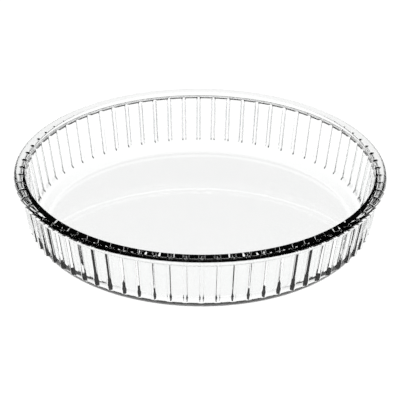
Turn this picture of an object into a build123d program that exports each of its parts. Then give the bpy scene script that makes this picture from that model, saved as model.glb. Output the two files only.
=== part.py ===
from build123d import *
import os
from math import cos, radians, sin, sqrt, tan

# A round pressed-glass pie dish with a ribbed wall, in millimetres.
# The axis of the dish is Z, and the origin is the middle of its underside.

# Whole dish
rim_radius = 140.0
dish_height = 50.0

# Wall between the ribs: it leans outward from the floor to the lip
wall_draft_deg = 9.9
wall_thickness = 3.8
outer_corner_radius = 12.3
inner_corner_radius = 12.9

# Floor
floor_thickness = 4.6

# Rounded lip that stands out from the top of the wall
lip_thickness = 6.3
lip_reach = 6.5
lip_inner_round = 1.3
lip_root_round = 2.2

# Ribs: narrow bars with rounded edges that run up the outside of the wall into the lip
rib_count = 70
rib_height = 2.5
rib_foot_width = 3.9
rib_top_width = 1.6
rib_edge_round = 0.5
rib_root = 1.2
rib_end_height = 8.6
rib_full_height = 9.7

wall_draft = radians(wall_draft_deg)
lip_foot_height = dish_height - lip_thickness
wall_foot_radius = rim_radius - lip_reach - lip_foot_height * tan(wall_draft)
rib_pitch_deg = 360 / rib_count
rib_buried_height = lip_foot_height + lip_thickness / 2


def wall_radius(height, offset=0.0):
    """Radius of the outer wall at a height, moved out from the glass by offset."""
    return wall_foot_radius + height * tan(wall_draft) + offset / cos(wall_draft)


def corner_radius_at(height):
    """Radius of the dish at a height on the round corner under the wall."""
    centre_radius = wall_radius(outer_corner_radius, -outer_corner_radius)
    drop = outer_corner_radius - height
    return centre_radius + sqrt(outer_corner_radius**2 - drop**2)


def lip_outline():
    """Full round that closes the outer edge of the lip, from underneath to the top."""
    lip_round = lip_thickness / 2
    lip_centre_radius = rim_radius - lip_round
    return ThreePointArc(
        (lip_centre_radius, lip_foot_height),
        (rim_radius, dish_height - lip_round),
        (lip_centre_radius, dish_height),
    )


def dish_section():
    """Half of the dish without ribs, cut through its axis."""
    lip_edge = lip_outline()
    wall_foot = (wall_radius(0), 0)
    lip_root = (wall_radius(lip_foot_height), lip_foot_height)
    rim_inside = (wall_radius(dish_height, -wall_thickness), dish_height)
    floor_edge = (wall_radius(floor_thickness, -wall_thickness), floor_thickness)
    outside = Polyline((0, 0), wall_foot, lip_root, lip_edge @ 0)
    inside = Polyline(lip_edge @ 1, rim_inside, floor_edge, (0, floor_thickness), (0, 0))
    section = make_face(outside + lip_edge + inside)
    rounds = [
        (wall_foot, outer_corner_radius),
        (lip_root, lip_root_round),
        (rim_inside, lip_inner_round),
        (floor_edge, inner_corner_radius),
    ]
    for corner, radius in rounds:
        section = fillet(section.vertices().sort_by_distance(corner)[0], radius)
    return section


def rib_bar():
    """A long bar with the profile of a rib, lying along the slope of the wall at +X."""
    slant = (rib_foot_width - rib_top_width) / 2 / rib_height
    root_half = rib_foot_width / 2 + rib_root * slant
    top_half = rib_top_width / 2
    outline = Polyline(
        (-rib_root, -root_half),
        (rib_height, -top_half),
        (rib_height, top_half),
        (-rib_root, root_half),
        close=True,
    )
    profile = make_face(outline)
    profile = fillet(profile.vertices().sort_by(Axis.X)[-2:], rib_edge_round)
    outward = (cos(wall_draft), 0, -sin(wall_draft))
    up_the_wall = (sin(wall_draft), 0, cos(wall_draft))
    foot = Plane(origin=(wall_radius(0), 0, 0), x_dir=outward, z_dir=up_the_wall)
    return extrude(foot * profile, dish_height)


def rib_side():
    """Side view of a rib as a block: it runs out below, and its top end lies inside the lip."""
    outline = Polyline(
        (corner_radius_at(rib_end_height) - rib_root, rib_end_height),
        (corner_radius_at(rib_end_height), rib_end_height),
        (wall_radius(rib_full_height, rib_height), rib_full_height),
        (wall_radius(rib_buried_height, rib_height), rib_buried_height),
        (wall_radius(rib_buried_height, -rib_root), rib_buried_height),
        close=True,
    )
    return extrude(Plane.XZ * make_face(outline), rib_foot_width, both=True)


def glass_dish():
    """The whole dish as one solid of glass."""
    plain = revolve(Plane.XZ * dish_section(), Axis.Z)
    rib = rib_bar() & rib_side()
    first = Rot(Z=rib_pitch_deg / 2) * rib
    ribs = [Rot(Z=number * rib_pitch_deg) * first for number in range(rib_count)]
    return plain.fuse(*ribs)


dish = glass_dish()
dish.label = "glass_dish"
os.makedirs("parts", exist_ok=True)
export_step(dish, "parts/glass_dish.step")
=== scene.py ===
import bpy
from math import acos, cos, pi, radians, sin, tan
from mathutils import Matrix, Vector


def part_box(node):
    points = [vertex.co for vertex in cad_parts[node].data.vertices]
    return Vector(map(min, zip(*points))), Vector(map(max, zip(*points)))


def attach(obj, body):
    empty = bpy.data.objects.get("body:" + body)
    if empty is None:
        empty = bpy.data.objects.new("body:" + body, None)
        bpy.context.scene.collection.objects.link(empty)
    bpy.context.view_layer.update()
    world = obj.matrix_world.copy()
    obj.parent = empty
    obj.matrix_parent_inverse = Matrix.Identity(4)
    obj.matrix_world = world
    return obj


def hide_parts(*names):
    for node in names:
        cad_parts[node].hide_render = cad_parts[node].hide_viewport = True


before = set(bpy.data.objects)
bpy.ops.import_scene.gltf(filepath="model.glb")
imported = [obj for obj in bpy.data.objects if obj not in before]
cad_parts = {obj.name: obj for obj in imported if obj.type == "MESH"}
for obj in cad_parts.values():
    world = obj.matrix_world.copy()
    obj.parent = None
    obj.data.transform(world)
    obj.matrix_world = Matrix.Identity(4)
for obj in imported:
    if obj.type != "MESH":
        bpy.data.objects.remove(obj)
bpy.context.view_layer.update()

# Everything is in metres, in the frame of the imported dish.
MM = 0.001

# Whole dish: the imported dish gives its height
dish_low, dish_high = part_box("glass_dish")
dish_height = dish_high[2] - dish_low[2]
rim_radius = 140 * MM

# Wall between the ribs, floor and lip
wall_draft = radians(9.9)
wall_thickness = 3.43 * MM
outer_corner_radius = 12.1 * MM
inner_corner_radius = 12.27 * MM
floor_thickness = 4.67 * MM
lip_thickness = 6.3 * MM
lip_reach = 6.48 * MM
lip_inner_round = 0.94 * MM
lip_root_round = 2.63 * MM
lip_foot_height = dish_height - lip_thickness
wall_foot_radius = rim_radius - lip_reach - lip_foot_height * tan(wall_draft)

# Ribs that stand on the wall, with a smooth flank on each side. They run out below, and run up
# into the lip.
rib_count = 70
rib_height = 2.39 * MM
rib_root_round = 0.85 * MM
rib_flank_width = 1.29 * MM
rib_top_width = 1.19 * MM
rib_end_height = 8.01 * MM
rib_full_height = 9.73 * MM
steps_per_rib = 16

# Shares of half a pitch, from the middle of a panel to the middle of the rib beside it:
# evenly spaced steps on the left, where they fall on the glass on the right
rib_step_shares = [(0, 0), (0.25, 0.47), (0.875, 0.95), (1, 1)]

# Steps along the section of the glass
corner_steps = 18
low_wall_steps = 6
low_wall_length = 2 * MM
wall_steps = 10
lip_root_steps = 9
lip_steps = 12
rim_steps = 6
inside_steps = 10
root_search_steps = 40

# Where a ring of points divides the underside and the inside of the floor
underside_inner_share = 0.7
floor_inner_share = 0.3


# Section of the glass

def wall_radius(height, offset=0.0):
    """Radius of the wall between the ribs, moved out from the glass by offset."""
    return wall_foot_radius + height * tan(wall_draft) + offset / cos(wall_draft)


def straight(start, end, steps):
    """Points of a straight stretch after its start."""
    return [start.lerp(end, step / steps) for step in range(1, steps + 1)]


def bend(corner, before, after, radius, steps, hollow=False):
    """Points of a round corner between two straight stretches that meet at corner, each with
    the direction out of the glass."""
    corner = Vector(corner)
    back = (Vector(before) - corner).normalized()
    ahead = (Vector(after) - corner).normalized()
    half_angle = acos(back.dot(ahead)) / 2
    centre = corner + (back + ahead).normalized() * (radius / sin(half_angle))
    first = corner + back * (radius / tan(half_angle)) - centre
    last = corner + ahead * (radius / tan(half_angle)) - centre
    points = []
    for step in range(steps + 1):
        arm = first.slerp(last, step / steps).normalized()
        points.append((centre + arm * radius, -arm if hollow else arm))
    return points


def lip_centre():
    """Middle of the full round that closes the outer edge of the lip."""
    return Vector((rim_radius - lip_thickness / 2, dish_height - lip_thickness / 2))


def lip_edge(steps):
    """The full round itself, from underneath to the top, with the direction out of the glass."""
    angles = [pi * step / steps - pi / 2 for step in range(steps + 1)]
    arms = [Vector((cos(angle), sin(angle))) for angle in angles]
    return [(lip_centre() + arm * (lip_thickness / 2), arm) for arm in arms]


def rib_height_at(height):
    """How far the ribs stand out at a height: they run out on the corner under the floor."""
    share = (height - rib_end_height) / (rib_full_height - rib_end_height)
    share = min(max(share, 0), 1)
    return rib_height * share * share * (3 - 2 * share)


def rib_root_arc(steps):
    """Points where the ridge of a rib bends out of the wall's slope and into the lip's round,
    and the direction from the lip's middle to the last of them."""
    reach = rib_root_round + lip_thickness / 2
    low, high = 0.5 * dish_height, lip_centre().y
    for _ in range(root_search_steps):
        middle = (low + high) / 2
        centre = Vector((wall_radius(middle, rib_height + rib_root_round), middle))
        if (centre - lip_centre()).length > reach:
            low = middle
        else:
            high = middle
    first = Vector((-cos(wall_draft), sin(wall_draft)))
    last = (lip_centre() - centre).normalized()
    arms = [first.slerp(last, step / steps) for step in range(steps + 1)]
    return [centre + arm * rib_root_round for arm in arms], -last


def dish_section():
    """Half of the dish cut through its axis between two ribs, from the middle of the underside
    round to the middle of the floor. Each point has the way from there to the ridge of a rib."""
    foot = Vector((wall_radius(0), 0))
    root = Vector((wall_radius(lip_foot_height), lip_foot_height))
    rim_inside = Vector((wall_radius(dish_height, -wall_thickness), dish_height))
    floor_edge = Vector((wall_radius(floor_thickness, -wall_thickness), floor_thickness))
    wall_out = Vector((cos(wall_draft), -sin(wall_draft)))
    level = Vector((0, 0))

    corner = bend(foot, (0, 0), root, outer_corner_radius, corner_steps)
    lip_low_edge = (rim_radius, lip_foot_height)
    lip_root = bend(root, foot, lip_low_edge, lip_root_round, lip_root_steps, hollow=True)
    down = Vector((0, -1))
    ridge_end = rib_root_arc(1)[1].angle(down)
    lip = lip_edge(lip_steps)
    lip_low = [point for point, outward in lip if outward.angle(down) < ridge_end]
    lip_high = [point for point, outward in lip[len(lip_low):]]
    under_lip = [point for point, outward in lip_root] + lip_low
    ridge = rib_root_arc(len(under_lip) - 1)[0]
    rim = bend(rim_inside, (rim_radius, dish_height), floor_edge, lip_inner_round, rim_steps)
    centre = (0, floor_thickness)
    inside = bend(floor_edge, rim_inside, centre, inner_corner_radius, inside_steps, hollow=True)

    outline = [(level, level), (corner[0][0] * underside_inner_share, level)]
    outline += [(point, outward * rib_height_at(point.y)) for point, outward in corner]
    low_height = rib_full_height + low_wall_length
    low = Vector((wall_radius(low_height), low_height))
    for point in straight(corner[-1][0], low, low_wall_steps):
        outline.append((point, wall_out * rib_height_at(point.y)))
    low_ridge = low + wall_out * rib_height
    for step in range(1, wall_steps):
        at_wall = low.lerp(under_lip[0], step / wall_steps)
        outline.append((at_wall, low_ridge.lerp(ridge[0], step / wall_steps) - at_wall))
    outline += [(point, top - point) for point, top in zip(under_lip, ridge)]
    floor_middle = Vector((0, floor_thickness))
    floor_inner = inside[-1][0].lerp(floor_middle, floor_inner_share)
    plain = lip_high + [point for point, outward in rim + inside] + [floor_inner, floor_middle]
    return outline + [(point, level) for point in plain]


def section_object():
    """The section as a chain of points that the node tree turns round the axis."""
    outline = dish_section()
    mesh = bpy.data.meshes.new("dish_section")
    mesh.from_pydata([(point.x, 0, point.y) for point, way in outline], [], [])
    to_ridge = mesh.attributes.new("to_ridge", "FLOAT_VECTOR", "POINT")
    to_ridge.data.foreach_set("vector", [part for point, way in outline for part in (way.x, 0, way.y)])
    section = bpy.data.objects.new("dish_section", mesh)
    bpy.context.scene.collection.objects.link(section)
    return section, len(outline)


# Node tree

# Points nearer than this are one point: it closes the ring and the middles of the floor
merge_distance = 1e-6


class Tree:
    """Short ways to add nodes to a geometry node tree."""

    def __init__(self, name):
        self.tree = bpy.data.node_groups.new(name, "GeometryNodeTree")

    def add(self, kind, **settings):
        node = self.tree.nodes.new(kind)
        for key, value in settings.items():
            setattr(node, key, value)
        return node

    def join(self, source, target):
        self.tree.links.new(source, target)

    def put(self, value, socket):
        if isinstance(value, (int, float)):
            socket.default_value = value
        else:
            self.join(value, socket)

    def math(self, operation, *values):
        node = self.add("ShaderNodeMath", operation=operation)
        for socket, value in zip(node.inputs, values):
            self.put(value, socket)
        return node.outputs[0]

    def combine(self, x, y, z):
        node = self.add("ShaderNodeCombineXYZ")
        for socket, value in zip(node.inputs, (x, y, z)):
            self.put(value, socket)
        return node.outputs[0]

    def split(self, vector):
        node = self.add("ShaderNodeSeparateXYZ")
        self.join(vector, node.inputs[0])
        return node.outputs

    def named(self, name, kind):
        node = self.add("GeometryNodeInputNamedAttribute", data_type=kind)
        node.inputs["Name"].default_value = name
        return node.outputs["Attribute"]

    def sample(self, geometry, value, index, kind):
        node = self.add("GeometryNodeSampleIndex", data_type=kind, domain="POINT")
        self.join(geometry, node.inputs["Geometry"])
        self.join(value, node.inputs["Value"])
        self.join(index, node.inputs["Index"])
        return node.outputs[0]


def ribbed_glass_tree():
    """Turns a section round the axis and raises the ribs on it."""
    t = Tree("ribbed_glass")
    sockets = t.tree.interface
    sockets.new_socket("Geometry", in_out="INPUT", socket_type="NodeSocketGeometry")
    sockets.new_socket("Rib count", in_out="INPUT", socket_type="NodeSocketInt")
    sockets.new_socket("Steps per rib", in_out="INPUT", socket_type="NodeSocketInt")
    sockets.new_socket("Section points", in_out="INPUT", socket_type="NodeSocketInt")
    for name in ("Flank width", "Rib top width"):
        sockets.new_socket(name, in_out="INPUT", socket_type="NodeSocketFloat")
    sockets.new_socket("Glass", in_out="INPUT", socket_type="NodeSocketMaterial")
    sockets.new_socket("Geometry", in_out="OUTPUT", socket_type="NodeSocketGeometry")
    given = t.add("NodeGroupInput").outputs
    result = t.add("NodeGroupOutput")

    # A flat grid with one column for each step round and one row for each section point
    columns = t.math("ADD", t.math("MULTIPLY", given["Rib count"], given["Steps per rib"]), 1)
    grid = t.add("GeometryNodeMeshGrid")
    t.join(columns, grid.inputs["Vertices X"])
    t.join(given["Section points"], grid.inputs["Vertices Y"])
    place = t.split(t.add("GeometryNodeInputPosition").outputs[0])
    round_share = t.math("ADD", place[0], 0.5)
    rows = t.math("SUBTRACT", given["Section points"], 1)
    row = t.math("ROUND", t.math("MULTIPLY", t.math("ADD", place[1], 0.5), rows))

    # Where the column lies between two ribs, with the steps gathered at the flanks of the rib
    pitches = t.math("MULTIPLY", round_share, given["Rib count"])
    nearest = t.math("ROUND", pitches)
    aside = t.math("MULTIPLY", t.math("SUBTRACT", pitches, nearest), 2.0)
    curve = t.add("ShaderNodeFloatCurve")
    points = curve.mapping.curves[0].points
    for _ in range(len(rib_step_shares) - 2):
        points.new(0.5, 0.5)
    for point, (left, right) in zip(points, rib_step_shares):
        point.location = (left, right)
        point.handle_type = "VECTOR"
    curve.mapping.update()
    t.join(t.math("ABSOLUTE", aside), curve.inputs["Value"])
    aside = t.math("MULTIPLY", curve.outputs[0], t.math("SIGN", aside))
    pitch = t.math("DIVIDE", 2 * pi, given["Rib count"])
    turn_in_pitch = t.math("MULTIPLY", t.math("MULTIPLY", aside, 0.5), pitch)
    turn = t.math("ADD", t.math("MULTIPLY", nearest, pitch), turn_in_pitch)

    # The section's own place at this row, and the way from there to the ridge of a rib
    position = t.add("GeometryNodeInputPosition").outputs[0]
    radius, _, height = t.split(t.sample(given["Geometry"], position, row, "FLOAT_VECTOR"))
    to_ridge = t.named("to_ridge", "FLOAT_VECTOR")
    ridge = t.split(t.sample(given["Geometry"], to_ridge, row, "FLOAT_VECTOR"))

    # From the level panel the glass swings up to the rib in a smooth wave
    across = t.math("MULTIPLY", radius, t.math("ABSOLUTE", turn_in_pitch))
    half_pitch = t.math("MULTIPLY", radius, t.math("MULTIPLY", pitch, 0.5))
    beside = t.math("ADD", given["Flank width"], t.math("MULTIPLY", given["Rib top width"], 0.5))
    past_panel = t.math("SUBTRACT", across, t.math("SUBTRACT", half_pitch, beside))
    share = t.math("DIVIDE", past_panel, given["Flank width"])
    share = t.math("MINIMUM", t.math("MAXIMUM", share, 0.0), 1.0)
    wave = t.math("SUBTRACT", 1.0, t.math("COSINE", t.math("MULTIPLY", share, pi)))
    lift = t.math("MULTIPLY", wave, 0.5)

    # Turn each point round the axis
    far = t.math("ADD", radius, t.math("MULTIPLY", ridge[0], lift))
    high = t.math("ADD", height, t.math("MULTIPLY", ridge[2], lift))
    x = t.math("MULTIPLY", far, t.math("COSINE", turn))
    y = t.math("MULTIPLY", far, t.math("SINE", turn))
    shape = t.add("GeometryNodeSetPosition")
    t.join(grid.outputs["Mesh"], shape.inputs["Geometry"])
    t.join(t.combine(x, y, high), shape.inputs["Position"])
    closed = t.add("GeometryNodeMergeByDistance")
    closed.inputs["Distance"].default_value = merge_distance
    t.join(shape.outputs[0], closed.inputs[0])
    smooth = t.add("GeometryNodeSetShadeSmooth")
    t.join(closed.outputs[0], smooth.inputs[0])
    real = t.add("GeometryNodeRealizeInstances")
    t.join(smooth.outputs[0], real.inputs[0])
    glazed = t.add("GeometryNodeSetMaterial")
    t.join(real.outputs[0], glazed.inputs["Geometry"])
    t.join(given["Glass"], glazed.inputs["Material"])
    t.join(glazed.outputs[0], result.inputs[0])
    return t.tree


def dish_glass():
    """The dish as a plain closed mesh, made by the node tree."""
    section, section_points = section_object()
    tree = ribbed_glass_tree()
    modifier = section.modifiers.new("ribbed_glass", "NODES")
    modifier.node_group = tree
    values = {
        "Rib count": rib_count,
        "Steps per rib": steps_per_rib,
        "Section points": section_points,
        "Flank width": rib_flank_width,
        "Rib top width": rib_top_width,
        "Glass": clear_glass(),
    }
    for item in tree.interface.items_tree:
        if item.in_out == "INPUT" and item.name in values:
            modifier[item.identifier] = values[item.name]
    evaluated = section.evaluated_get(bpy.context.evaluated_depsgraph_get())
    mesh = bpy.data.meshes.new_from_object(evaluated)
    mesh.name = "dish_glass"
    piece = bpy.data.objects.new("dish_glass", mesh)
    bpy.context.scene.collection.objects.link(piece)
    bpy.data.objects.remove(section)
    return piece


# Glass

glass_index = 1.5
glass_shadow_tint = (0.93, 0.94, 0.935, 1)

# Waviness: a shallow pattern that is stretched up and down the wall
ripple_depth = 0.02 * MM
ripple_stretch = 0.12
ripples_per_metre = 160
ripple_octaves = 2.0

# Haze: a pattern that makes the glass a little less glossy and less tinted where it is strong
haze_per_metre = 35
haze_octaves = 4.0
haze_start, haze_full = 0.45, 0.75
haze_roughness = 0.04
tint_deep, tint_pale = (0.985, 0.993, 0.989, 1), (0.996, 0.999, 0.997, 1)
tint_start, tint_full = 0.3, 0.7


def noise(nodes, links, place, scale, octaves):
    """Value of a noise pattern at place."""
    node = nodes.new("ShaderNodeTexNoise")
    node.inputs["Scale"].default_value = scale
    node.inputs["Detail"].default_value = octaves
    links.new(place, node.inputs["Vector"])
    return node.outputs["Fac"]


def clear_glass():
    """Clear pressed glass, glossy and a little wavy up and down the wall, with faint haze.
    It lets the lamps through to the floor."""
    material = bpy.data.materials.new("clear_glass")
    material.use_nodes = True
    nodes, links = material.node_tree.nodes, material.node_tree.links
    surface = nodes["Principled BSDF"]
    surface.inputs["IOR"].default_value = glass_index
    surface.inputs["Transmission Weight"].default_value = 1.0

    place = nodes.new("ShaderNodeTexCoord").outputs["Object"]
    stretch = nodes.new("ShaderNodeMapping")
    stretch.inputs["Scale"].default_value = (1, 1, ripple_stretch)
    links.new(place, stretch.inputs["Vector"])
    ripple = noise(nodes, links, stretch.outputs["Vector"], ripples_per_metre, ripple_octaves)
    bump = nodes.new("ShaderNodeBump")
    bump.inputs["Strength"].default_value = 1.0
    bump.inputs["Distance"].default_value = ripple_depth
    links.new(ripple, bump.inputs["Height"])
    links.new(bump.outputs["Normal"], surface.inputs["Normal"])

    haze = noise(nodes, links, place, haze_per_metre, haze_octaves)
    gloss = nodes.new("ShaderNodeMapRange")
    gloss.inputs["From Min"].default_value = haze_start
    gloss.inputs["From Max"].default_value = haze_full
    gloss.inputs["To Min"].default_value = 0.0
    gloss.inputs["To Max"].default_value = haze_roughness
    links.new(haze, gloss.inputs["Value"])
    links.new(gloss.outputs["Result"], surface.inputs["Roughness"])
    tint = nodes.new("ShaderNodeValToRGB")
    deep, pale = tint.color_ramp.elements
    deep.position, deep.color = tint_start, tint_deep
    pale.position, pale.color = tint_full, tint_pale
    links.new(haze, tint.inputs["Fac"])
    links.new(tint.outputs["Color"], surface.inputs["Base Color"])

    path = nodes.new("ShaderNodeLightPath")
    clear = nodes.new("ShaderNodeBsdfTransparent")
    clear.inputs["Color"].default_value = glass_shadow_tint
    mix = nodes.new("ShaderNodeMixShader")
    links.new(path.outputs["Is Shadow Ray"], mix.inputs["Fac"])
    links.new(surface.outputs["BSDF"], mix.inputs[1])
    links.new(clear.outputs["BSDF"], mix.inputs[2])
    links.new(mix.outputs["Shader"], nodes["Material Output"].inputs["Surface"])
    return material


# Camera

camera_elevation = radians(29.0)
camera_turn = radians(-0.75)
camera_distance = 1.773
camera_aim_height = 22.5 * MM
camera_roll = radians(0.444)
camera_lens = 209.5
camera_sensor = 36
camera_sight = 20


def camera():
    """Camera at the photograph's viewing angle."""
    data = bpy.data.cameras.new("camera")
    data.sensor_width = camera_sensor
    data.lens = camera_lens
    data.clip_end = camera_sight
    seat = bpy.data.objects.new("camera", data)
    bpy.context.scene.collection.objects.link(seat)
    flat = cos(camera_elevation) * camera_distance
    high = sin(camera_elevation) * camera_distance
    place = Vector((flat * sin(camera_turn), -flat * cos(camera_turn), high))
    look = Vector((0, 0, camera_aim_height)) - place
    turned = look.to_track_quat("-Z", "Y").to_matrix() @ Matrix.Rotation(camera_roll, 3, "Z")
    seat.matrix_world = Matrix.Translation(place) @ turned.to_4x4()
    bpy.context.scene.camera = seat


# Floor and light

floor_reach = 6.0
floor_drop = 0.2 * MM
floor_colour = 0.85
floor_roughness = 0.9
floor_own_light = 0.97
floor_shadow_share = 0.15
floor_through_glass = 1.1

# Light of the room on things, and its brightness in mirrored and bent rays: pairs of an
# elevation in degrees and a level
light_on_things = 0.5
backdrop_levels = [(0, 1.0), (2, 1.0), (6, 0.02), (60, 0.02), (75, 0.3)]

# Lamps: name, place, size across and power
lamps = [
    ("lamp_over", (-0.3, 0.2, 1.6), 1.2, 9),
    ("lamp_side", (1.1, -0.8, 1.1), 0.8, 3),
]


def direct_rays(nodes, links):
    """The light path, and 1 for rays from the camera or mirrored or bent by glass. Light that
    falls on things gets 0."""
    path = nodes.new("ShaderNodeLightPath")
    total = path.outputs["Is Camera Ray"]
    for name in ("Is Glossy Ray", "Is Transmission Ray"):
        add = nodes.new("ShaderNodeMath")
        add.operation = "ADD"
        add.use_clamp = True
        links.new(total, add.inputs[0])
        links.new(path.outputs[name], add.inputs[1])
        total = add.outputs[0]
    return path, total


def choose_shader(nodes, links, factor, where_none, where_full):
    """Mixes two shaders: the first where factor is 0, and the second where it is 1."""
    mix = nodes.new("ShaderNodeMixShader")
    links.new(factor, mix.inputs["Fac"])
    links.new(where_none, mix.inputs[1])
    links.new(where_full, mix.inputs[2])
    return mix.outputs["Shader"]


def floor_material():
    """Pale floor that looks white. To the camera, part of its white is light that the lamps
    throw on it, so that it keeps the shadow of the dish."""
    material = bpy.data.materials.new("white_floor")
    material.use_nodes = True
    nodes, links = material.node_tree.nodes, material.node_tree.links
    surface = nodes["Principled BSDF"]
    surface.inputs["Base Color"].default_value = (floor_colour,) * 3 + (1,)
    surface.inputs["Roughness"].default_value = floor_roughness
    surface.inputs["Specular IOR Level"].default_value = 0.0
    path, direct = direct_rays(nodes, links)

    through_glass = nodes.new("ShaderNodeEmission")
    through_glass.inputs["Strength"].default_value = floor_through_glass
    own = nodes.new("ShaderNodeEmission")
    own.inputs["Strength"].default_value = floor_own_light
    lit = nodes.new("ShaderNodeBsdfDiffuse")
    lit.inputs["Color"].default_value = (floor_shadow_share,) * 3 + (1,)
    seen = nodes.new("ShaderNodeAddShader")
    links.new(own.outputs["Emission"], seen.inputs[0])
    links.new(lit.outputs["BSDF"], seen.inputs[1])

    plain, bright = surface.outputs["BSDF"], through_glass.outputs["Emission"]
    look = choose_shader(nodes, links, direct, plain, bright)
    look = choose_shader(nodes, links, path.outputs["Is Camera Ray"], look, seen.outputs["Shader"])
    links.new(look, nodes["Material Output"].inputs["Surface"])
    return material


def floor():
    """Broad level floor just under the dish."""
    mesh = bpy.data.meshes.new("floor")
    sides = [(-1, -1), (1, -1), (1, 1), (-1, 1)]
    corners = [(x * floor_reach, y * floor_reach, -floor_drop) for x, y in sides]
    mesh.from_pydata(corners, [], [(0, 1, 2, 3)])
    plane = bpy.data.objects.new("floor", mesh)
    bpy.context.scene.collection.objects.link(plane)
    mesh.materials.append(floor_material())
    return plane


def backdrop():
    """White to the camera, and plain soft light on things. In glass it is white low down all
    round, with a dark band above that, so that the edges of the glass draw dark."""
    world = bpy.data.worlds.new("studio")
    bpy.context.scene.world = world
    world.use_nodes = True
    nodes, links = world.node_tree.nodes, world.node_tree.links
    path, direct = direct_rays(nodes, links)
    where = nodes.new("ShaderNodeTexCoord")
    split = nodes.new("ShaderNodeSeparateXYZ")
    links.new(where.outputs["Generated"], split.inputs[0])
    band = nodes.new("ShaderNodeValToRGB")
    links.new(split.outputs["Z"], band.inputs["Fac"])
    while len(band.color_ramp.elements) < len(backdrop_levels):
        band.color_ramp.elements.new(0.5)
    for element, (elevation, level) in zip(band.color_ramp.elements, backdrop_levels):
        element.position = sin(radians(elevation))
        element.color = (level, level, level, 1)
    behind = nodes.new("ShaderNodeMix")
    links.new(path.outputs["Is Camera Ray"], behind.inputs["Factor"])
    links.new(band.outputs["Color"], behind.inputs["A"])
    behind.inputs["B"].default_value = 1.0
    strength = nodes.new("ShaderNodeMix")
    links.new(direct, strength.inputs["Factor"])
    strength.inputs["A"].default_value = light_on_things
    links.new(behind.outputs["Result"], strength.inputs["B"])
    background = nodes["Background"]
    background.inputs["Color"].default_value = (1, 1, 1, 1)
    links.new(strength.outputs["Result"], background.inputs["Strength"])


def soft_lamp(name, place, size, power):
    """A broad soft lamp that hangs at place and looks at the dish. It doesn't show in glass."""
    data = bpy.data.lights.new(name, "AREA")
    data.shape = "DISK"
    data.size = size
    data.energy = power
    lamp = bpy.data.objects.new(name, data)
    bpy.context.scene.collection.objects.link(lamp)
    aim = (-Vector(place)).to_track_quat("-Z", "Y").to_matrix().to_4x4()
    lamp.matrix_world = Matrix.Translation(place) @ aim
    lamp.visible_glossy = False
    lamp.visible_transmission = False


camera()
dish = dish_glass()
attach(dish, "root")
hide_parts("glass_dish")
floor()
backdrop()
for name, place, size, power in lamps:
    soft_lamp(name, place, size, power)

bpy.context.scene.view_settings.view_transform = "Standard"
